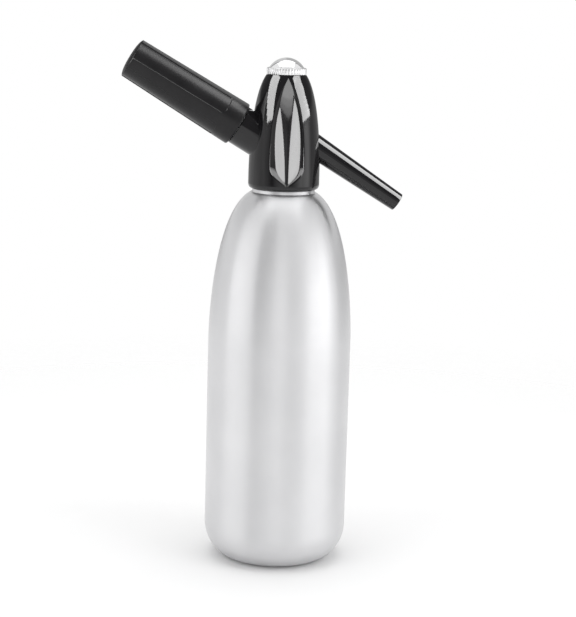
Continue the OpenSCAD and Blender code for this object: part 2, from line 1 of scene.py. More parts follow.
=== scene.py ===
"""Looks of the soda siphon around the fixed frame: finished shapes, materials, studio light and camera."""

import json
import math

import bmesh
import bpy
from mathutils import Matrix, Vector


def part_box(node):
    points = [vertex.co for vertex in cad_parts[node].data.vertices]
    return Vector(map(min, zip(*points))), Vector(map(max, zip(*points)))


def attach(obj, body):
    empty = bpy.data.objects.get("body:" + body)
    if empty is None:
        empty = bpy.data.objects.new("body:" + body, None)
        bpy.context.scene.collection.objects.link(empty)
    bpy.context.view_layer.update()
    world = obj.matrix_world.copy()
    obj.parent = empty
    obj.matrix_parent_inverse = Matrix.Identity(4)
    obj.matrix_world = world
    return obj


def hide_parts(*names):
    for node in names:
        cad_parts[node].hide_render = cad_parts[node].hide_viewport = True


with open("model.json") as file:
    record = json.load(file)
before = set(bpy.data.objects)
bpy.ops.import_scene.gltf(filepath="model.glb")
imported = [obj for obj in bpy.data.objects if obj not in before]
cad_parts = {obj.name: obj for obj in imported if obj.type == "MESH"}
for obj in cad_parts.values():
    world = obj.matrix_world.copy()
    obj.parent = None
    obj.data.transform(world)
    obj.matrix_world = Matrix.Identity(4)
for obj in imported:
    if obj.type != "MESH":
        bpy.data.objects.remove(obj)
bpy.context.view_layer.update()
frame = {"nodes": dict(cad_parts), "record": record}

MM = 0.001
NODES = frame["nodes"]

# Places and sizes that the solids share, in metres
BOTTLE_R = 47.5 * MM
BOTTLE_H = 250.0 * MM
FOOT_R = 28.0 * MM
FOOT_RISE = 23.0 * MM
SHOULDER_H = 100.0 * MM
NECK_R = 16.6 * MM
NECK_WALL = 2.0 * MM
ROOT_RING_R = 20.5 * MM
ROOT_RING_TOP = 249.7 * MM
NECK_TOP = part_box("bottle")[1].z
HEAD_R = 23.35 * MM
HEAD_TOP_R = 13.0 * MM
HEAD_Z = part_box("head_cover")[0].z
HEAD_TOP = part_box("head_cover")[1].z
HEAD_H = HEAD_TOP - HEAD_Z
RIM_H = 2.5 * MM
RIM_W = 2.0 * MM
COVER_BORE_R = 18.5 * MM
LEAF_W = 22.2 * MM
LEAF_H = 69.6 * MM
LEAF_Z = HEAD_Z + 2.9 * MM
LEAF_GAP = 0.08 * MM
RIDGE_RADII = (22.7 * MM, 19.5 * MM, 17.0 * MM, 13.5 * MM)
RIDGE_HEIGHT_SHARES = (0, 0.35, 0.78, 1)
FLANK_ANGLE = math.radians(24)
LEAF_LOW_SHARES = ((1, 0.19), (1, 0.11), (0.72, 0.08), (0, 0))
LEAF_TOP_SHARES = ((1, 0.19), (1.03, 0.53), (0.78, 0.805), (0, 1))
SPOUT_Z = HEAD_Z + 40.6 * MM
SPOUT_TILT = math.radians(32.7)
SPOUT_END = 90.2 * MM
SPOUT_ROOT_R = 7.9 * MM
SPOUT_TIP_R = 6.1 * MM
SPOUT_BORE_R = 2.6 * MM
SPOUT_BOSS_END = 20.5 * MM
OUTLET_R = 4.0 * MM
OUTLET_L = 12.0 * MM
HOLDER_Z = HEAD_Z + 22.8 * MM
HOLDER_TILT = math.radians(30.8)
HOLDER_NEAR = 36.0 * MM
HOLDER_L = 81.6 * MM
HOLDER_NEAR_R = 14.85 * MM
HOLDER_FAR_R = 13.35 * MM
HOLDER_BORE_R = 12.06 * MM
HOLDER_BORE_END = 113.9 * MM
FLUTES = 4
FLUTE_W = 12.8 * MM
FLUTE_D = 0.5 * MM
FLUTE_START = 12.0 * MM
FLUTE_FIRST = math.radians(-58)
STUB_R = 13.05 * MM
STUB_END = 35.6 * MM
COLLAR_R = 12.9 * MM
COLLAR_BORE_R = 11.36 * MM
COLLAR_SLEEVE_R = 12.11 * MM
COLLAR_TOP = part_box("knurled_collar")[1].z
COLLAR_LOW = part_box("knurled_collar")[0].z
BUTTON_R = 11.3 * MM
DOME_H = 6.5 * MM
BUTTON_SKIRT = 6.0 * MM


# Shapes

def cubic(points, t):
    """Point of a cubic curve with four control points."""
    weights = ((1 - t) ** 3, 3 * (1 - t) ** 2 * t, 3 * (1 - t) * t * t, t ** 3)
    return tuple(sum(w * p[k] for w, p in zip(weights, points)) for k in range(len(points[0])))


def curve(points, steps):
    return [cubic(points, i / steps) for i in range(steps + 1)]


def at_height(points, z):
    """First coordinate of the cubic curve where its last coordinate is z."""
    low, high = 0.0, 1.0
    rising = points[3][-1] > points[0][-1]
    for _ in range(40):
        mid = (low + high) / 2
        if (cubic(points, mid)[-1] < z) == rising:
            low = mid
        else:
            high = mid
    return cubic(points, (low + high) / 2)[0]


def new_piece(name, verts, faces, sharp=30, place=None):
    """Mesh object with smooth faces, and hard edges where the surface turns by more than sharp degrees."""
    mesh = bpy.data.meshes.new(name)
    mesh.from_pydata([tuple(v) for v in verts], [], faces)
    if place is not None:
        mesh.transform(place)
    clean = bmesh.new()
    clean.from_mesh(mesh)
    bmesh.ops.remove_doubles(clean, verts=clean.verts, dist=1e-7)
    bmesh.ops.recalc_face_normals(clean, faces=clean.faces)
    clean.to_mesh(mesh)
    clean.free()
    for face in mesh.polygons:
        face.use_smooth = True
    mesh.set_sharp_from_angle(angle=math.radians(sharp))
    piece = bpy.data.objects.new(name, mesh)
    bpy.context.scene.collection.objects.link(piece)
    return piece


def lathe(name, outline, segments=160, sharp=30, place=None):
    """Turns an outline of (radius, height) points round the Z axis.

    An outline that ends where it starts gives a closed ring, any other one stays open at its ends.
    """
    closed = outline[0] == outline[-1]
    rows = outline[:-1] if closed else outline
    verts, first = [], []
    for r, z in rows:
        first.append(len(verts))
        if r == 0:
            verts.append((0, 0, z))
        else:
            verts += [
                (r * math.cos(2 * math.pi * i / segments), r * math.sin(2 * math.pi * i / segments), z)
                for i in range(segments)
            ]
    faces = []
    pairs = [(k, k + 1) for k in range(len(rows) - 1)] + ([(len(rows) - 1, 0)] if closed else [])
    for a, b in pairs:
        for i in range(segments):
            j = (i + 1) % segments
            low = (first[a],) if rows[a][0] == 0 else (first[a] + i, first[a] + j)
            high = (first[b],) if rows[b][0] == 0 else (first[b] + j, first[b] + i)
            face = low + high
            if len(face) > 2:
                faces.append(face)
    return new_piece(name, verts, faces, sharp, place)


def grid(rows, width, first=0, ring=False, loop=False):
    """Faces between rows of points. A ring closes each row, a loop joins the last row to the first."""
    faces = []
    for k in range(rows if loop else rows - 1):
        low = first + k * width
        high = first + (k + 1) % rows * width
        for i in range(width if ring else width - 1):
            j = (i + 1) % width
            faces.append((low + i, low + j, high + j, high + i))
    return faces


def rounded(outline, radius, steps=4):
    """The outline with each inner corner rounded by up to radius."""
    out = [outline[0]]
    for a, b, c in zip(outline, outline[1:], outline[2:]):
        p, q, s = Vector(a), Vector(b), Vector(c)
        cut = min(radius, (p - q).length / 2, (s - q).length / 2)
        start = q + (p - q).normalized() * cut
        end = q + (s - q).normalized() * cut
        for i in range(steps + 1):
            t = i / steps
            out.append(tuple((1 - t) ** 2 * start + 2 * t * (1 - t) * q + t * t * end))
    out.append(outline[-1])
    return out


def helix(name, radius, start, height, pitch, crest, width, segments=96, fade_turn=1 / 6):
    """Raised screw thread with slanted flanks, which fades in and out over fade_turn turns."""
    count = int(height / pitch * segments)
    fade_steps = fade_turn * segments
    verts = []
    for i in range(count + 1):
        a = 2 * math.pi * i / segments
        z = start + pitch * i / segments
        fade = min(1, i / fade_steps, (count - i) / fade_steps)
        root, top = radius - crest / 2, radius + crest * fade
        for r, dz in ((root, -width / 2), (top, -width / 8), (top, width / 8), (root, width / 2)):
            verts.append((r * math.cos(a), r * math.sin(a), z + dz))
    ends = [(0, 1, 2, 3), tuple(range(4 * count + 3, 4 * count - 1, -1))]
    return new_piece(name, verts, grid(count + 1, 4, ring=True) + ends, sharp=40)


def along(tilt, z):
    """Places a shape whose +Z runs along the holder (tilt up to -X) or along the spout."""
    return Matrix.Translation((0, 0, z)) @ Matrix.Rotation(tilt, 4, "Y")


ALONG_HOLDER = along(HOLDER_TILT - math.pi / 2, HOLDER_Z)
ALONG_SPOUT = along(SPOUT_TILT + math.pi / 2, SPOUT_Z)


# Bottle

BOTTLE_WALL = 1.5 * MM
BOTTLE_FLOOR = 2.5 * MM
FOOT_EDGE_W = 0.4 * MM
FOOT_EDGE_H = 0.02 * MM
# Steps along the foot's arc outside and inside, in degrees
FOOT_STEP = 4
BASE_STEP = 10
SIDE_STEPS = 24
# Control points of the shoulder, as shares of the bottle's radius and of the drop from its top
SHOULDER_SHARES = ((1, 1), (1, 0.9175), (0.96, 0), (0.27, 0))
SHOULDER_STEPS = 60
# Points of the fillet under the ring, as distances out from the ring and up from the shoulder
ROOT_FILLET = ((0.12 * MM, 0.15 * MM), (0, 0.4 * MM))
NECK_ROUND = 0.3 * MM
NECK_LIP = 0.5 * MM
# How far in from the corner a rounding has its middle point, as a share of the rounding
MIDDLE_SHARE = 0.3
NECK_BORE_DROP = 2 * MM
NECK_BORE_ROOM = 1 * MM
THREAD_START = BOTTLE_H + 1.0 * MM
THREAD_L = 9.5 * MM
THREAD_PITCH = 4 * MM
THREAD_CREST = 0.2 * MM
THREAD_W = 1.6 * MM


def foot_arc(degrees, radius, rise):
    """Points of the foot's quarter ellipse that starts at this radius and height."""
    return [
        (radius + (BOTTLE_R - FOOT_R) * math.sin(a), rise + FOOT_RISE * (1 - math.cos(a)))
        for a in map(math.radians, degrees)
    ]


def neck_outline(start):
    """Outside and inside of the neck, from the height where the shoulder meets its ring."""
    neck_in = NECK_R - NECK_WALL
    fillet = [(ROOT_RING_R + out, start + up) for out, up in ROOT_FILLET]
    return fillet + [
        (ROOT_RING_R, ROOT_RING_TOP - NECK_ROUND),
        (ROOT_RING_R - MIDDLE_SHARE * NECK_ROUND, ROOT_RING_TOP - MIDDLE_SHARE * NECK_ROUND),
        (ROOT_RING_R - NECK_ROUND, ROOT_RING_TOP),
        (NECK_R + NECK_ROUND, ROOT_RING_TOP),
        (NECK_R, ROOT_RING_TOP + NECK_ROUND),
        (NECK_R, NECK_TOP - NECK_LIP),
        (NECK_R - MIDDLE_SHARE * NECK_LIP, NECK_TOP - MIDDLE_SHARE * NECK_LIP),
        (NECK_R - NECK_LIP, NECK_TOP),
        (neck_in + NECK_LIP, NECK_TOP),
        (neck_in, NECK_TOP - NECK_LIP),
        (neck_in, BOTTLE_H - NECK_BORE_DROP),
    ]


def bottle_outline():
    edge = [(0, 0), (FOOT_R - FOOT_EDGE_W, 0), (FOOT_R, FOOT_EDGE_H)]
    foot = foot_arc(range(FOOT_STEP, 90, FOOT_STEP), FOOT_R, 0)
    side_h = BOTTLE_H - SHOULDER_H - FOOT_RISE
    side = [(BOTTLE_R, FOOT_RISE + side_h * i / SIDE_STEPS) for i in range(SIDE_STEPS)]
    knots = [(r * BOTTLE_R, BOTTLE_H - SHOULDER_H * drop) for r, drop in SHOULDER_SHARES]
    shoulder = curve(knots, SHOULDER_STEPS)
    root = [p for p in shoulder if p[0] > ROOT_RING_R + NECK_ROUND]
    inner = [(r - BOTTLE_WALL, z - BOTTLE_WALL) for r, z in reversed(shoulder)]
    inside = [p for p in inner if p[0] > NECK_R - NECK_WALL + NECK_BORE_ROOM]
    base = foot_arc(range(90, -1, -BASE_STEP), FOOT_R - BOTTLE_WALL, BOTTLE_FLOOR)
    return edge + foot + side + root + neck_outline(root[-1][1]) + inside + base + [(0, BOTTLE_FLOOR)]


def make_bottle():
    piece = lathe("bottle_shell", bottle_outline(), segments=256, sharp=28)
    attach(piece, "bottle")
    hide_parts("bottle")
    thread = helix("neck_thread", NECK_R, THREAD_START, THREAD_L, THREAD_PITCH, THREAD_CREST, THREAD_W)
    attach(thread, "bottle")
    return [piece, thread]


# Head cover and its inlays

# Control points of the cover's side, as shares of the head's radius and height, below its top edge
HEAD_CURVE_SHARES = ((1, 0.108), (1, 0.118), (1.0175, 0.788))
HEAD_CURVE = (
    *((r * HEAD_R, HEAD_Z + z * HEAD_H) for r, z in HEAD_CURVE_SHARES),
    (HEAD_TOP_R, HEAD_TOP),
)
LEAF_LOW = tuple((p[0] * LEAF_W / 2, LEAF_Z + p[1] * LEAF_H) for p in LEAF_LOW_SHARES)
LEAF_TOP = tuple((p[0] * LEAF_W / 2, LEAF_Z + p[1] * LEAF_H) for p in LEAF_TOP_SHARES)
RIDGE = tuple((r, LEAF_Z + s * LEAF_H) for r, s in zip(RIDGE_RADII, RIDGE_HEIGHT_SHARES))


def head_radius(z):
    """Outside radius of the cover at height z."""
    if z < HEAD_CURVE[0][1]:
        if z < HEAD_Z + RIM_H:
            fall = 1 - (z - HEAD_Z) / RIM_H
            return HEAD_R - RIM_W * (1 - math.sqrt(max(0, 1 - fall * fall)))
        return HEAD_R
    return at_height(HEAD_CURVE, z)


def leaf_half(z):
    """Half the leaf's width at height z, or nothing outside it."""
    if z <= LEAF_Z or z >= LEAF_Z + LEAF_H:
        return 0.0
    low = z < LEAF_LOW[0][1]
    return at_height(LEAF_LOW if low else LEAF_TOP, z)


def ridge_radius(z):
    return at_height(RIDGE, z)


RIM_ANGLES = range(0, 90, 9)
LEAF_LOW_ROWS = 26
LEAF_TOP_ROWS = 70
# Distances of further rows from the leaf's foot, from its tip and from the cover's top
ROWS_AT_FOOT = (0.0004 * MM, 0.1 * MM)
ROWS_AT_TIP = (0.0004 * MM, 0.3 * MM)
ROWS_AT_TOP = (0.9 * MM, 0.5 * MM, 0)
LEAST_ROW_H = 0.02 * MM


def rows_of_cover():
    """Heights of the cover's rows, close together at the rim and where the leaf turns fast."""
    rim = [HEAD_Z + RIM_H * (1 - math.cos(math.radians(a))) for a in RIM_ANGLES]
    low = [cubic(LEAF_LOW, 1 - i / LEAF_LOW_ROWS)[1] for i in range(LEAF_LOW_ROWS + 1)]
    top = [cubic(LEAF_TOP, i / LEAF_TOP_ROWS)[1] for i in range(LEAF_TOP_ROWS + 1)]
    fine = [LEAF_Z + d for d in ROWS_AT_FOOT] + [LEAF_Z + LEAF_H - d for d in ROWS_AT_TIP]
    edge = [HEAD_TOP - d for d in ROWS_AT_TOP]
    rows = sorted(set(round(z, 8) for z in rim + low + top + fine + edge))
    return [rows[0]] + [b for a, b in zip(rows, rows[1:]) if b - a > LEAST_ROW_H]


EDGE_ROUND = 0.35 * MM
EDGE_STEPS = 3
WALL_DEPTH = 2.6 * MM
# Half width of the leaf from which its wall has the full depth
FULL_WALL_HALF = 2 * MM
COVER_COLUMNS = 72


def cover_half_row(z):
    """Points of one row of the cover from the front leaf's wall round +X to the rear leaf's wall."""
    r = head_radius(z)
    half = leaf_half(z)
    edge = math.asin(min(1, half / r))
    soft = min(EDGE_ROUND, half / 2, max(0, HEAD_TOP - z))
    points = []
    corner = Vector((half, -r * math.cos(edge)))
    away = Vector((math.cos(edge), math.sin(edge)))
    start = corner + Vector((0, soft))
    end = corner + away * soft
    depth = min(WALL_DEPTH, WALL_DEPTH * half / FULL_WALL_HALF)
    points.append((start.x, start.y + depth))
    for i in range(EDGE_STEPS + 1):
        t = i / EDGE_STEPS
        p = (1 - t) ** 2 * start + 2 * t * (1 - t) * corner + t * t * end
        points.append((p.x, p.y))
    first = edge + soft / r
    side = [
        (r * math.sin(a), -r * math.cos(a))
        for a in (first + (math.pi - 2 * first) * i / COVER_COLUMNS for i in range(1, COVER_COLUMNS))
    ]
    back = [(x, -y) for x, y in reversed(points)]
    return points + side + back


COVER_SEGMENTS = 144
COVER_CHAMFER = 0.2 * MM
COVER_BORE_SHOWN = 16 * MM
COVER_TOP_BORE_R = COLLAR_SLEEVE_R + 0.06 * MM
COVER_TOP_BORE_SHOWN = 3 * MM
STUB_START = 14 * MM
STUB_WALL = 2.1 * MM
STUB_BORE_START = 20 * MM
STUB_ROUND = 0.5 * MM


def make_cover():
    rows = rows_of_cover()
    verts, faces = [], []
    for sign in (1, -1):
        first = len(verts)
        for z in rows:
            row = cover_half_row(z)
            verts += [(sign * x, y, z) for x, y in row]
        faces += grid(len(rows), len(row), first)
    shell = new_piece("cover_side", verts, faces, sharp=35)
    inner = lathe("cover_inside", [
        (HEAD_R - RIM_W, HEAD_Z),
        (COVER_BORE_R + COVER_CHAMFER, HEAD_Z),
        (COVER_BORE_R, HEAD_Z + COVER_CHAMFER),
        (COVER_BORE_R, HEAD_Z + COVER_BORE_SHOWN),
    ], COVER_SEGMENTS)
    cap = lathe("cover_top_edge", [
        (HEAD_TOP_R, HEAD_TOP),
        (HEAD_TOP_R - COVER_CHAMFER, HEAD_TOP),
        (COVER_TOP_BORE_R, HEAD_TOP),
        (COVER_TOP_BORE_R, HEAD_TOP - COVER_TOP_BORE_SHOWN),
    ], COVER_SEGMENTS)
    stub_in = STUB_R - STUB_WALL
    stub = lathe("cover_stub", rounded([
        (STUB_R, STUB_START), (STUB_R, STUB_END), (stub_in, STUB_END), (stub_in, STUB_BORE_START),
    ], STUB_ROUND), COVER_SEGMENTS, sharp=35, place=ALONG_HOLDER)
    join(shell, [inner, cap])
    shell.name = "cover_shell"
    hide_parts("head_cover")
    for piece in (shell, stub):
        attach(piece, "head")
    return shell, stub


def join(target, others):
    """Merges the other pieces' meshes into the target's and removes them."""
    merged = bmesh.new()
    merged.from_mesh(target.data)
    for other in others:
        merged.from_mesh(other.data)
        bpy.data.objects.remove(other)
    merged.to_mesh(target.data)
    merged.free()


INLAY_ACROSS = 30
INLAY_DEPTH = 1.6 * MM
RIDGE_ROUND_LOW = 1.3 * MM
RIDGE_ROUND_TOP = 9.0 * MM
FILLET_SHARE = 0.3
FOOT_FILLET = 0.45
FILLET_LIFT = 0.19
EDGE_RISE = 0.45
EDGE_RISE_W = 0.35 * MM
TINY = 1e-9


def inlay_row(z, gap):
    """Points of one row across the inlay, from its wall at -X to its wall at +X."""
    half = max(leaf_half(z) - gap, 0)
    share = (z - LEAF_Z) / LEAF_H
    soft = RIDGE_ROUND_LOW + (RIDGE_ROUND_TOP - RIDGE_ROUND_LOW) * share * share
    top = ridge_radius(z)
    fillet = (FILLET_SHARE + FOOT_FILLET * (1 - share) ** 3) * half
    rise_w = min(EDGE_RISE_W, half / 4)
    points = []
    for i in range(-INLAY_ACROSS, INLAY_ACROSS + 1):
        x = half * math.sin(math.pi / 2 * i / INLAY_ACROSS)
        fall = math.tan(FLANK_ANGLE) * (math.sqrt(x * x + soft * soft) - soft)
        near = max(0, abs(x) - (half - fillet))
        last = max(0, abs(x) - (half - rise_w))
        lift = FILLET_LIFT * near * near / max(fillet, TINY) + EDGE_RISE * last * last / max(rise_w, TINY)
        points.append((x, -(top - fall + lift)))
    return points


def make_inlay(name, node, front):
    rows = [z for z in rows_of_cover() if LEAF_Z < z < LEAF_Z + LEAF_H]
    turn = 1 if front else -1
    verts = []
    for z in rows:
        face = inlay_row(z, LEAF_GAP)
        (start_x, start_y), (end_x, end_y) = face[0], face[-1]
        row = [(start_x, start_y + INLAY_DEPTH)] + face + [(end_x, end_y + INLAY_DEPTH)]
        verts += [(x, turn * y, z) for x, y in row]
    piece = new_piece(name, verts, grid(len(rows), len(row)), sharp=40)
    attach(piece, "head")
    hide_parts(node)
    return piece


# Spout, collar and button

SPOUT_STEPS = 20
SPOUT_ROUND = 0.35 * MM


def make_spout():
    taper = (SPOUT_ROOT_R - SPOUT_TIP_R) / (SPOUT_END - HEAD_R)
    root = SPOUT_ROOT_R + taper * (HEAD_R - SPOUT_BOSS_END)
    length = SPOUT_END - SPOUT_BOSS_END
    mouth = SPOUT_END - OUTLET_L
    outline = [(SPOUT_BORE_R, SPOUT_BOSS_END), (root, SPOUT_BOSS_END)]
    outline += [
        (root + (SPOUT_TIP_R - root) * i / SPOUT_STEPS, SPOUT_BOSS_END + length * i / SPOUT_STEPS)
        for i in range(1, SPOUT_STEPS + 1)
    ]
    outline += [
        (OUTLET_R, SPOUT_END), (OUTLET_R, mouth), (SPOUT_BORE_R, mouth), (SPOUT_BORE_R, SPOUT_BOSS_END),
    ]
    piece = lathe("spout_tube", rounded(outline, SPOUT_ROUND), segments=128, sharp=32, place=ALONG_SPOUT)
    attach(piece, "head")
    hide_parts("spout")
    return piece


KNURLS = 40
KNURL_D = 0.3 * MM
# Points along one crest and groove, as shares of their width, with the share of the groove's depth
KNURL_SHAPE = ((0, 0), (0.3, 0), (0.6, 0), (0.72, 0.7), (0.8, 1), (0.88, 0.7))
COLLAR_CHAMFER = 0.45 * MM
COLLAR_BORE_CHAMFER = 0.25 * MM
# A band within the chamfer: distance in from the collar's side, share of the chamfer, share of the grooves
COLLAR_EDGE_IN = 0.1 * MM
COLLAR_EDGE_SHARE = 0.7
COLLAR_EDGE_CUT = 0.2


def make_collar():
    """Knurled band with chamfered edges on a plain sleeve."""
    low, high = HEAD_TOP, COLLAR_TOP
    edge_r = COLLAR_R - COLLAR_EDGE_IN
    edge_h = COLLAR_EDGE_SHARE * COLLAR_CHAMFER
    bands = (
        (COLLAR_R - COLLAR_CHAMFER, 0, low),
        (edge_r, COLLAR_EDGE_CUT, low + edge_h),
        (COLLAR_R, 1, low + COLLAR_CHAMFER),
        (COLLAR_R, 1, high - COLLAR_CHAMFER),
        (edge_r, COLLAR_EDGE_CUT, high - edge_h),
        (COLLAR_R - COLLAR_CHAMFER, 0, high),
        (COLLAR_BORE_R + COLLAR_BORE_CHAMFER, 0, high),
        (COLLAR_BORE_R, 0, high - COLLAR_BORE_CHAMFER),
        (COLLAR_BORE_R, 0, COLLAR_LOW),
        (COLLAR_SLEEVE_R, 0, COLLAR_LOW),
        (COLLAR_SLEEVE_R, 0, low),
    )
    verts = []
    for r, cut, z in bands:
        for i in range(KNURLS):
            for place, depth in KNURL_SHAPE:
                a = 2 * math.pi * (i + place) / KNURLS
                rr = r - cut * KNURL_D * depth
                verts.append((rr * math.cos(a), rr * math.sin(a), z))
    faces = grid(len(bands), len(KNURL_SHAPE) * KNURLS, ring=True, loop=True)
    piece = new_piece("collar_ring", verts, faces, sharp=50)
    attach(piece, "head")
    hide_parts("knurled_collar")
    return piece


DOME_STEPS = 32
BUTTON_WALL = 1.2 * MM
BUTTON_ROUND = 0.3 * MM
BUTTON_BOSS_R = 3.2 * MM
BUTTON_BOSS_DROP = 7 * MM
# Points of the edge between dome and skirt, as distances in from the side and up from the collar's top
BUTTON_EDGE = ((0.12 * MM, 0.1 * MM), (0, -0.15 * MM))


def make_button():
    dome_r = (BUTTON_R ** 2 + DOME_H ** 2) / (2 * DOME_H)
    centre = COLLAR_TOP + DOME_H - dome_r
    full = math.asin(BUTTON_R / dome_r)
    tilts = [full * i / DOME_STEPS for i in range(1, DOME_STEPS)]
    dome = [(0, centre + dome_r)] + [(dome_r * math.sin(a), centre + dome_r * math.cos(a)) for a in tilts]
    edge = [(BUTTON_R - inwards, COLLAR_TOP + up) for inwards, up in BUTTON_EDGE]
    low = COLLAR_TOP - BUTTON_SKIRT
    under = COLLAR_TOP - BUTTON_WALL
    boss = COLLAR_TOP - BUTTON_BOSS_DROP
    inner = BUTTON_R - BUTTON_WALL
    skirt = [
        (BUTTON_R, low + BUTTON_ROUND), (BUTTON_R - BUTTON_ROUND, low), (inner, low), (inner, under),
        (BUTTON_BOSS_R, under), (BUTTON_BOSS_R, boss), (0, boss),
    ]
    piece = lathe("button_dome", dome + edge + skirt, segments=160, sharp=32)
    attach(piece, "button")
    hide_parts("dome_button")
    return piece


# Charger holder

HOLDER_DOME = 2.3 * MM
HOLDER_DOME_BACK = 1.5 * MM
HOLDER_DOME_START = HOLDER_L - HOLDER_DOME_BACK
# Powers on the sine and cosine of the end's ellipse, which flatten its middle
DOME_RISE_POWER = 1.3
DOME_WIDTH_POWER = 0.8
HOLDER_EDGE = 0.9 * MM
# Middle point of the near edge's rounding, as shares of it along the holder and inwards
HOLDER_EDGE_MIDDLE = (0.3, 0.35)
FLUTE_PITCH = 2 * math.pi / FLUTES
FLUTE_CORNER = FLUTE_W / 5
FLUTE_STEPS = 14
RIB_STEPS = 12
STEP_W = 0.42 * MM
PLAIN_RINGS = 6
CORNER_ANGLES = range(15, 105, 15)
FLUTED_RINGS = 24
DOME_RINGS = 16
FADING_RINGS = 3


def holder_radius(s):
    slope = (HOLDER_NEAR_R - HOLDER_FAR_R) / HOLDER_L
    return HOLDER_NEAR_R - slope * s


HOLDER_END_R = holder_radius(HOLDER_DOME_START)


def flute_half(s):
    """Half the width of a flute at distance s from the holder's near end."""
    least = FLUTE_W / 2 - FLUTE_CORNER
    if s <= FLUTE_START:
        return least
    reach = min(FLUTE_CORNER, s - FLUTE_START)
    return least + math.sqrt(max(0, FLUTE_CORNER ** 2 - (FLUTE_CORNER - reach) ** 2))


def flute_angles(s, r):
    """Angles across one flute and the rib beside it, each with 1 inside the flute and 0 on the rib."""
    half = math.asin(flute_half(s) / r)
    step = STEP_W / r
    rib = FLUTE_PITCH - 2 * (half + step)
    angles = [(-half - step, 0), (-half, 1)]
    angles += [(-half + 2 * half * i / FLUTE_STEPS, 1) for i in range(1, FLUTE_STEPS)]
    angles += [(half, 1), (half + step, 0)]
    angles += [(half + step + rib * i / RIB_STEPS, 0) for i in range(1, RIB_STEPS)]
    return angles


def holder_rings():
    """Rings along the holder, as distance from its near end, radius and share of the flutes' depth."""
    near_r = holder_radius(HOLDER_EDGE)
    middle, inwards = (share * HOLDER_EDGE for share in HOLDER_EDGE_MIDDLE)
    rings = [(0, HOLDER_BORE_R, 0), (0, near_r - HOLDER_EDGE, 0), (middle, near_r - inwards, 0)]
    plain_l = FLUTE_START - HOLDER_EDGE
    plain = [HOLDER_EDGE + plain_l * i / PLAIN_RINGS for i in range(PLAIN_RINGS + 1)]
    rings += [(s, holder_radius(s), 0) for s in plain]
    first = FLUTE_START + STEP_W
    fluted = [first]
    fluted += [first + (FLUTE_CORNER - STEP_W) * (1 - math.cos(math.radians(a))) for a in CORNER_ANGLES]
    straight = FLUTE_START + FLUTE_CORNER
    straight_l = HOLDER_DOME_START - FLUTE_START - FLUTE_CORNER
    fluted += [straight + straight_l * i / FLUTED_RINGS for i in range(1, FLUTED_RINGS + 1)]
    rings += [(s, holder_radius(s), 1) for s in fluted]
    for i in range(1, DOME_RINGS + 1):
        a = math.radians(90 * i / DOME_RINGS)
        s = HOLDER_DOME_START + HOLDER_DOME * math.sin(a) ** DOME_RISE_POWER
        rings.append((s, HOLDER_END_R * math.cos(a) ** DOME_WIDTH_POWER, max(0, 1 - i / FADING_RINGS)))
    return rings


def make_holder():
    rings = holder_rings()
    verts = []
    for s, r, cut in rings:
        angles = flute_angles(s, max(r, HOLDER_END_R))
        for k in range(FLUTES):
            for a, inside in angles:
                t = FLUTE_FIRST + k * FLUTE_PITCH + a
                rr = max(0, r - FLUTE_D * cut * inside)
                verts.append((rr * math.cos(t), rr * math.sin(t), s))
    faces = grid(len(rings), len(angles) * FLUTES, ring=True)
    place = ALONG_HOLDER @ Matrix.Translation((0, 0, HOLDER_NEAR))
    piece = new_piece("holder_shell", verts, faces, sharp=24, place=place)
    end = HOLDER_BORE_END - HOLDER_NEAR
    outline = [(HOLDER_BORE_R, 0), (HOLDER_BORE_R, end), (0, end)]
    bore = lathe("holder_inside", outline, segments=96, place=place)
    join(piece, [bore])
    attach(piece, "holder")
    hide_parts("charger_holder")
    return piece


# Materials

def new_material(name):
    material = bpy.data.materials.new(name)
    material.use_nodes = True
    tree = material.node_tree
    shader = tree.nodes["Principled BSDF"]
    return material, tree, shader


def node(tree, kind, inputs=None, **settings):
    made = tree.nodes.new(kind)
    for key, value in settings.items():
        setattr(made, key, value)
    for key, value in (inputs or {}).items():
        made.inputs[key].default_value = value
    return made


def coordinates(tree, scale=(1, 1, 1)):
    """Object coordinates in metres, stretched by scale."""
    source = node(tree, "ShaderNodeTexCoord")
    mapping = node(tree, "ShaderNodeMapping", {"Scale": scale})
    tree.links.new(source.outputs["Object"], mapping.inputs["Vector"])
    return mapping.outputs["Vector"]


def noise(tree, scale, detail=4, stretch=(1, 1, 1), rough=0.5):
    made = node(tree, "ShaderNodeTexNoise", {"Scale": scale, "Detail": detail, "Roughness": rough})
    tree.links.new(coordinates(tree, stretch), made.inputs["Vector"])
    return made.outputs["Fac"]


def ramp(tree, source, low, high, start=0.35, end=0.65):
    """Maps source from start..end to low..high, as numbers or colours."""
    if isinstance(low, tuple):
        made = node(tree, "ShaderNodeValToRGB")
        made.color_ramp.elements[0].position = start
        made.color_ramp.elements[1].position = end
        made.color_ramp.elements[0].color = (*low, 1)
        made.color_ramp.elements[1].color = (*high, 1)
        tree.links.new(source, made.inputs["Fac"])
        return made.outputs["Color"]
    limits = {"From Min": start, "From Max": end, "To Min": low, "To Max": high}
    made = node(tree, "ShaderNodeMapRange", limits)
    tree.links.new(source, made.inputs["Value"])
    return made.outputs["Result"]


def bump(tree, source, strength, distance):
    made = node(tree, "ShaderNodeBump", {"Strength": strength, "Distance": distance})
    tree.links.new(source, made.inputs["Height"])
    return made.outputs["Normal"]


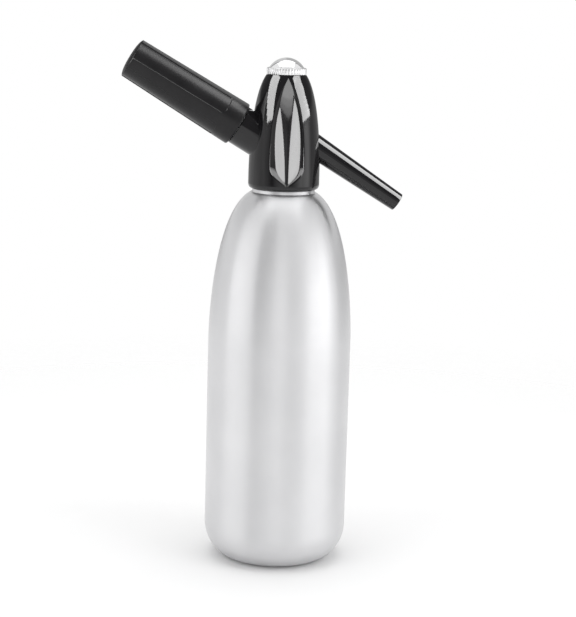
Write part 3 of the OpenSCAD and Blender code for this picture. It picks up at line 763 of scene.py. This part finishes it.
def satin_aluminium():
    """Brushed metal: fine lines round the bottle, soft cloudy variation and faint handling marks."""
    material, tree, shader = new_material("satin_aluminium")
    shader.inputs["Metallic"].default_value = 1.0
    shader.inputs["Anisotropic"].default_value = 0.75
    shader.inputs["Anisotropic Rotation"].default_value = 0.25
    round_z = node(tree, "ShaderNodeTangent", direction_type="RADIAL", axis="Z")
    tree.links.new(round_z.outputs["Tangent"], shader.inputs["Tangent"])
    lines = noise(tree, 60, detail=3, stretch=(1, 1, 60), rough=0.7)
    cloud = noise(tree, 22, detail=3)
    tree.links.new(ramp(tree, cloud, (0.67, 0.67, 0.68), (0.71, 0.71, 0.72)), shader.inputs["Base Color"])
    tree.links.new(ramp(tree, lines, 0.32, 0.40, start=0.3, end=0.7), shader.inputs["Roughness"])
    tree.links.new(bump(tree, lines, 0.06, 0.00002), shader.inputs["Normal"])
    return material


def gloss_black():
    """Polished black moulding with a slight waviness and dust-fine variation in gloss."""
    material, tree, shader = new_material("gloss_black")
    shader.inputs["Coat Weight"].default_value = 0.12
    shader.inputs["Coat Roughness"].default_value = 0.02
    shader.inputs["Specular IOR Level"].default_value = 0.42
    wave = noise(tree, 45, detail=2)
    fine = noise(tree, 900, detail=3)
    shades = ramp(tree, wave, (0.007, 0.0065, 0.0075), (0.010, 0.0095, 0.0105))
    tree.links.new(shades, shader.inputs["Base Color"])
    tree.links.new(ramp(tree, fine, 0.045, 0.075), shader.inputs["Roughness"])
    tree.links.new(bump(tree, wave, 0.02, 0.0002), shader.inputs["Normal"])
    return material


def satin_black():
    """Spark-eroded satin plastic with a very fine grain."""
    material, tree, shader = new_material("satin_black")
    shader.inputs["Specular IOR Level"].default_value = 0.28
    grain = noise(tree, 2600, detail=3, rough=0.6)
    cloud = noise(tree, 60, detail=3)
    shades = ramp(tree, cloud, (0.010, 0.0095, 0.0105), (0.015, 0.0145, 0.0155))
    tree.links.new(shades, shader.inputs["Base Color"])
    tree.links.new(ramp(tree, grain, 0.26, 0.36), shader.inputs["Roughness"])
    tree.links.new(bump(tree, grain, 0.12, 0.00003), shader.inputs["Normal"])
    return material


def bright_chrome():
    """Polished chrome with hairline polishing marks."""
    material, tree, shader = new_material("bright_chrome")
    shader.inputs["Metallic"].default_value = 1.0
    marks = noise(tree, 300, detail=4, stretch=(1, 1, 6))
    tree.links.new(ramp(tree, marks, (0.80, 0.80, 0.81), (0.88, 0.88, 0.885)), shader.inputs["Base Color"])
    tree.links.new(ramp(tree, marks, 0.05, 0.12), shader.inputs["Roughness"])
    tree.links.new(bump(tree, marks, 0.02, 0.00002), shader.inputs["Normal"])
    return material


def worked_metal(name, low, high, smooth, rough, stretch, depth=0.00003):
    """Metal with turning or drawing marks."""
    material, tree, shader = new_material(name)
    shader.inputs["Metallic"].default_value = 1.0
    marks = noise(tree, 250, detail=4, stretch=stretch)
    cloud = noise(tree, 90, detail=3)
    tree.links.new(ramp(tree, cloud, low, high), shader.inputs["Base Color"])
    tree.links.new(ramp(tree, marks, smooth, rough), shader.inputs["Roughness"])
    tree.links.new(bump(tree, marks, 0.1, depth), shader.inputs["Normal"])
    return material


def moulded(name, low, high, smooth, rough, grain=1500, depth=0.00002):
    """Plain moulded plastic or rubber with a fine grain."""
    material, tree, shader = new_material(name)
    fine = noise(tree, grain, detail=3)
    cloud = noise(tree, 70, detail=3)
    tree.links.new(ramp(tree, cloud, low, high), shader.inputs["Base Color"])
    tree.links.new(ramp(tree, fine, smooth, rough), shader.inputs["Roughness"])
    tree.links.new(bump(tree, fine, 0.15, depth), shader.inputs["Normal"])
    return material


def dress(piece, material):
    piece.data.materials.clear()
    piece.data.materials.append(material)
    for face in piece.data.polygons:
        face.material_index = 0


# Making the pieces

aluminium = satin_aluminium()
black_gloss = gloss_black()
black_satin = satin_black()
chrome = bright_chrome()
cast = worked_metal("cast_metal", (0.42, 0.42, 0.43), (0.52, 0.52, 0.53), 0.35, 0.5, (1, 1, 1))
brass = worked_metal("turned_brass", (0.66, 0.47, 0.20), (0.76, 0.56, 0.27), 0.2, 0.32, (1, 1, 8))
steel = worked_metal("bare_steel", (0.52, 0.52, 0.53), (0.62, 0.62, 0.63), 0.2, 0.34, (1, 1, 8))
white = moulded("white_plastic", (0.76, 0.76, 0.74), (0.84, 0.84, 0.82), 0.35, 0.5)
rubber = moulded(
    "seal_rubber", (0.018, 0.018, 0.018), (0.030, 0.030, 0.030), 0.55, 0.75, grain=900, depth=0.00004,
)

SLOT_MATERIALS = {
    "satin_aluminium": aluminium,
    "gloss_black": black_gloss,
    "satin_black": black_satin,
    "bright_chrome": chrome,
    "cast_metal": cast,
    "turned_brass": brass,
    "bare_steel": steel,
    "white_plastic": white,
    "seal_rubber": rubber,
}
METAL_SLOTS = ("satin_aluminium", "bright_chrome", "cast_metal", "turned_brass", "bare_steel")
metal_pieces, dark_pieces = [], []
for part in frame["record"]["subparts"]:
    solid = NODES[part["node"]]
    dress(solid, SLOT_MATERIALS[part["material_slot"]])
    for face in solid.data.polygons:
        face.use_smooth = True
    solid.data.set_sharp_from_angle(angle=math.radians(30))
    (metal_pieces if part["material_slot"] in METAL_SLOTS else dark_pieces).append(solid)

for piece in make_bottle():
    dress(piece, aluminium)
    metal_pieces.append(piece)
for piece in (make_collar(), make_button()):
    dress(piece, chrome)
    metal_pieces.append(piece)
inlays = [make_inlay("inlay_front", "front_inlay", True), make_inlay("inlay_rear", "rear_inlay", False)]
cover_piece, stub_piece = make_cover()
spout_piece = make_spout()
for piece in [cover_piece, stub_piece, spout_piece] + inlays:
    dress(piece, black_gloss)
    dark_pieces.append(piece)
holder_piece = make_holder()
dress(holder_piece, black_satin)
dark_pieces.append(holder_piece)


# Camera, fitted to the photograph's outline, with its focal length in pixels of a picture FRAME_H high

FRAME_H = 617
SENSOR_W = 36
CAMERA_DISTANCE = 1.110
CAMERA_HEIGHT = 0.374
CAMERA_SIDE = 0.00521
CAMERA_PITCH = math.radians(10.44)
CAMERA_ROLL = math.radians(1.62)
CAMERA_FOCAL_PX = 1693
CAMERA_AZIMUTH = math.radians(-5.5)
CAMERA_SIDE_ANGLE = CAMERA_AZIMUTH - math.pi / 2


def make_camera():
    data = bpy.data.cameras.new("camera")
    data.sensor_width = SENSOR_W
    data.lens = CAMERA_FOCAL_PX * SENSOR_W / FRAME_H
    data.clip_start = 0.01
    camera = bpy.data.objects.new("camera", data)
    bpy.context.scene.collection.objects.link(camera)
    turn = Matrix.Rotation(CAMERA_AZIMUTH, 4, "Z")
    place = Matrix.Translation((CAMERA_SIDE, -CAMERA_DISTANCE, CAMERA_HEIGHT))
    look = Matrix.Rotation(math.pi / 2 - CAMERA_PITCH, 4, "X")
    camera.matrix_world = turn @ place @ look @ Matrix.Rotation(CAMERA_ROLL, 4, "Z")
    bpy.context.scene.camera = camera


# Lights and surroundings

def around(angle, distance, height):
    """Point at a compass angle from the camera's side, positive towards the spout."""
    turn = CAMERA_SIDE_ANGLE + math.radians(angle)
    return Vector((distance * math.cos(turn), distance * math.sin(turn), height))


def lamp(name, centre, target, width, height, radiance):
    """Rectangular area lamp that faces the target, with the radiance of its surface."""
    data = bpy.data.lights.new(name, "AREA")
    data.shape = "RECTANGLE"
    data.size = width
    data.size_y = height
    data.energy = radiance * math.pi * width * height
    light = bpy.data.objects.new(name, data)
    light.location = centre
    light.rotation_euler = (Vector(target) - Vector(centre)).to_track_quat("-Z", "Y").to_euler()
    bpy.context.scene.collection.objects.link(light)
    return light


HEAD_CENTRE = Vector((0, 0, 0.29))
BOX_DISTANCE = 2.5
TOP_BOX_Z = 3.2
TOP_BOX_W = 3.6
# Slanted outer edges of the boxes beside the cover, as elevation and compass angle, and slices along them
LEFT_EDGE = (
    (9, -69), (12, -73), (15, -78), (20, -83), (27, -88), (34, -94), (42, -99), (52, -108), (60, -113),
)
RIGHT_EDGE = (
    (8, 103), (10, 99.5), (14, 94.5), (20, 89), (27, 90), (35, 88), (42, 94), (50, 110), (60, 117),
)
SLICES = 18


def between(knots, x):
    """Value at x on the line through the knots."""
    for (a, low), (b, high) in zip(knots, knots[1:]):
        if x <= b:
            return low + (high - low) * (x - a) / (b - a)
    return knots[-1][1]


def slices(span, rise):
    """Spans and rises of level slices that follow a slanted edge, or the plain box."""
    if not any(isinstance(edge, tuple) for edge in span):
        return [(span, rise)]
    step = (rise[1] - rise[0]) / SLICES
    out = []
    for i in range(SLICES):
        low = rise[0] + i * step
        edges = [between(edge, low + step / 2) if isinstance(edge, tuple) else edge for edge in span]
        out.append((edges, (low, low + step)))
    return out


lit_sets = {}


def lit_set(pieces):
    """Collection of these pieces. Lights share it, because a scene links them to 64 sets at most."""
    names = tuple(piece.name for piece in pieces)
    if names not in lit_sets:
        lit_sets[names] = bpy.data.collections.new(f"lit_{len(lit_sets)}")
        for piece in pieces:
            lit_sets[names].objects.link(piece)
    return lit_sets[names]


def only_in_reflections(light, pieces):
    """The light shines on these pieces alone, and only in their reflections."""
    light.visible_diffuse = False
    light.visible_shadow = False
    light.light_linking.receiver_collection = lit_set(pieces)


def soft_box(name, span, rise, radiance, pieces):
    """Upright soft box over compass angles span and elevations rise, as the head sees them."""
    middle = (span[0] + span[1]) / 2
    low, high = (HEAD_CENTRE.z + BOX_DISTANCE * math.tan(math.radians(e)) for e in rise)
    centre = around(middle, BOX_DISTANCE, (low + high) / 2)
    width = 2 * BOX_DISTANCE * math.tan(math.radians((span[1] - span[0]) / 2))
    light = lamp(name, centre, (0, 0, centre.z), width, high - low, radiance)
    only_in_reflections(light, pieces)


def make_boxes():
    """Soft boxes: name, compass span, elevations, radiance, and the pieces that show them."""
    cover = [cover_piece, NODES["head_cover"]]
    ridged = inlays + [NODES["front_inlay"], NODES["rear_inlay"]]
    tube = [spout_piece, NODES["spout"]]
    satin = [holder_piece, NODES["charger_holder"]]
    plain = [p for p in dark_pieces if p not in cover + ridged + tube + satin + [stub_piece]]
    chromed = [p for p in metal_pieces if p.data.materials[0] == chrome]
    brushed = [p for p in metal_pieces if p not in chromed]
    boxes = (
        ("cover_left", (LEFT_EDGE, -46), (10, 58), 12.5, cover),
        ("cover_left_low", (-68, -50), (9.2, 10), 12.5, cover),
        ("cover_left_lower", (-68, -57), (8.4, 9.2), 12.5, cover),
        ("cover_left_lowest", (-68, -62), (7.6, 8.4), 12.5, cover),
        ("cover_right", (45, RIGHT_EDGE), (8, 58), 12.2, cover),
        ("ridge_left", (-80, -23), (2.5, 54), 13, ridged),
        ("ridge_right", (38, 117), (2.5, 54), 12.6, ridged),
        ("ridge_front", (-22, 34), (10.2, 11.8), 3.2, ridged),
        ("ridge_front_higher", (-22, 34), (11.8, 13.6), 4.4, ridged),
        ("ridge_front_high", (-22, 34), (13.6, 45), 6.2, ridged),
        ("tube_right", (53, 106), (8, 60), 12.5, tube),
        ("holder_left", (-90, -40), (10, 54), 9, satin),
        ("holder_right", (58, 122), (15, 66), 7.0, satin),
        ("holder_rear", (135, 180), (20, 50), 0.9, satin),
        ("plain_left", (-90, -44), (10, 54), 3, plain),
        ("plain_right", (45, 117), (10, 54), 3, plain),
        ("rear_dark", (172, 194), (6, 54), 8, cover + ridged + tube),
        ("metal_left", (-92, -44), (-10, 58), 0.85, brushed),
        ("metal_gap", (-44, -12), (-4, 58), 0.36, brushed),
        ("metal_front", (-12, 44), (-4, 58), 0.66, brushed),
        ("metal_right", (44, 108), (-10, 58), 0.69, brushed),
        ("metal_rear_left", (-178, -92), (2, 72), 0.56, brushed),
        ("metal_rear_right", (108, 182), (2, 72), 0.56, brushed),
        ("chrome_left", (-140, -44), (-10, 60), 0.8, chromed),
        ("chrome_front", (-44, 44), (-4, 58), 0.45, chromed),
        ("chrome_right", (44, 135), (-10, 60), 0.8, chromed),
        ("chrome_rear_left", (-178, -142), (8, 72), 0.5, chromed),
        ("chrome_rear_right", (137, 182), (8, 72), 0.35, chromed),
    )
    for name, span, rise, radiance, pieces in boxes:
        for i, (part_span, part_rise) in enumerate(slices(span, rise)):
            soft_box(f"{name}_box_{i}", part_span, part_rise, radiance, pieces)
    for name, radiance, pieces in (("metal_top_box", 1.3, brushed), ("chrome_top_box", 1.15, chromed)):
        light = lamp(name, (0, 0, TOP_BOX_Z), (0, 0, 0), TOP_BOX_W, TOP_BOX_W, radiance)
        only_in_reflections(light, pieces)


def only_for_reflections(stand_in):
    """The stand-in can be seen in reflections alone."""
    stand_in.visible_camera = False
    stand_in.visible_diffuse = False
    stand_in.visible_transmission = False
    stand_in.visible_shadow = False


LAMP_TARGET = (0, 0, 0.2)
SIDE_LAMP_DISTANCE = 1.2
SIDE_LAMP_Z = 1.1
SIDE_LAMP_W = 0.8
TOP_LAMP_PLACE = (0, 0.1, 1.6)
TOP_LAMP_W = 1.2


def make_lamps():
    """Soft lamps for the matt surfaces, kept out of the reflections."""
    lamps = []
    for name, angle, radiance in (("left_lamp", -50, 1.1), ("right_lamp", 60, 1.5)):
        place = around(angle, SIDE_LAMP_DISTANCE, SIDE_LAMP_Z)
        lamps.append(lamp(name, place, LAMP_TARGET, SIDE_LAMP_W, SIDE_LAMP_W, radiance))
    lamps.append(lamp("top_lamp", TOP_LAMP_PLACE, LAMP_TARGET, TOP_LAMP_W, TOP_LAMP_W, 1.8))
    for light in lamps:
        light.visible_glossy = False


WALL_R = 3.4
WALL_ROWS = [0.05 * i for i in range(-3, 21)] + [1.5, 2.5, 4.4]
CEILING_R = 1.5
CEILING_Z = 5.4
# Radiance of the walls low down, by compass angle from the camera's side
WALL_LOW = (
    (-180, 0.3), (-112, 0.75), (-68, 0.75), (-57, 0.55), (-47, 0.3), (-38, 0.02), (-27, 0.4), (-15, 0.75),
    (5, 1.0), (15, 0.35), (30, 0.45), (47, 1.2), (58, 1.7), (85, 1.9), (98, 0.5), (180, 0.3),
)
# Radiance higher up, and the elevations between which the first passes into the second
WALL_HIGH = 0.16
WALL_EDGE = (6, 10)


def wall_level(point):
    away = math.degrees(math.atan2(point.y, point.x) - CAMERA_SIDE_ANGLE)
    away = (away + 180) % 360 - 180
    rise = math.degrees(math.atan2(point.z - HEAD_CENTRE.z, math.hypot(point.x, point.y)))
    share = min(1, max(0, (rise - WALL_EDGE[0]) / (WALL_EDGE[1] - WALL_EDGE[0])))
    low = between(WALL_LOW, away)
    return low + (WALL_HIGH - low) * share


def make_walls():
    """Grey studio walls and ceiling, which only the reflections show."""
    side = [(WALL_R, z) for z in WALL_ROWS]
    walls = lathe("walls", side + [(CEILING_R, CEILING_Z), (0, CEILING_Z)], segments=120)
    level = walls.data.attributes.new("level", "FLOAT", "POINT")
    for value, vertex in zip(level.data, walls.data.vertices):
        value.value = wall_level(vertex.co)
    material, tree, shader = new_material("grey_walls")
    shader.inputs["Base Color"].default_value = (0, 0, 0, 1)
    shader.inputs["Specular IOR Level"].default_value = 0
    read = node(tree, "ShaderNodeAttribute", attribute_name="level")
    uneven = node(tree, "ShaderNodeMath", operation="MULTIPLY")
    tree.links.new(read.outputs["Fac"], uneven.inputs[0])
    tree.links.new(ramp(tree, noise(tree, 1.5, detail=2), 0.9, 1.1), uneven.inputs[1])
    tree.links.new(uneven.outputs[0], shader.inputs["Emission Strength"])
    shader.inputs["Emission Color"].default_value = (1, 1, 1, 1)
    dress(walls, material)
    only_for_reflections(walls)


FLOOR_R = 0.8
FLOOR_CLEAR_R = 0.16
FLOOR_GONE_R = FLOOR_R * 0.95


def make_floor():
    """Pale floor that fades into the white surround."""
    floor = lathe("floor", [(0, 0), (FLOOR_R, 0)], segments=64)
    material, tree, shader = new_material("pale_floor")
    shader.inputs["Roughness"].default_value = 0.7
    shader.inputs["Specular IOR Level"].default_value = 0.2
    shades = ramp(tree, noise(tree, 3, detail=2), (0.92, 0.92, 0.92), (0.94, 0.94, 0.94))
    tree.links.new(shades, shader.inputs["Base Color"])
    source = node(tree, "ShaderNodeTexCoord")
    reach = node(tree, "ShaderNodeVectorMath", operation="LENGTH")
    tree.links.new(source.outputs["Object"], reach.inputs[0])
    solid = ramp(tree, reach.outputs["Value"], 1.0, 0.0, start=FLOOR_CLEAR_R, end=FLOOR_GONE_R)
    tree.links.new(solid, shader.inputs["Alpha"])
    dress(floor, material)


SURROUND_LEVEL = 0.8


def make_surround():
    """World that is white for the camera, in reflections and seen through, and softer for matt surfaces."""
    world = bpy.data.worlds.new("surround")
    bpy.context.scene.world = world
    world.use_nodes = True
    tree = world.node_tree
    back = tree.nodes["Background"]
    path = node(tree, "ShaderNodeLightPath")
    seen = node(tree, "ShaderNodeMath", operation="MAXIMUM")
    tree.links.new(path.outputs["Is Camera Ray"], seen.inputs[0])
    tree.links.new(path.outputs["Is Transmission Ray"], seen.inputs[1])
    shown = node(tree, "ShaderNodeMath", operation="MAXIMUM")
    tree.links.new(seen.outputs[0], shown.inputs[0])
    tree.links.new(path.outputs["Is Glossy Ray"], shown.inputs[1])
    level = node(tree, "ShaderNodeMapRange", {"To Min": SURROUND_LEVEL, "To Max": 1.0})
    tree.links.new(shown.outputs[0], level.inputs["Value"])
    back.inputs["Color"].default_value = (1, 1, 1, 1)
    tree.links.new(level.outputs["Result"], back.inputs["Strength"])


make_camera()
make_boxes()
make_lamps()
make_walls()
make_floor()
make_surround()
bpy.context.scene.view_settings.view_transform = "Standard"
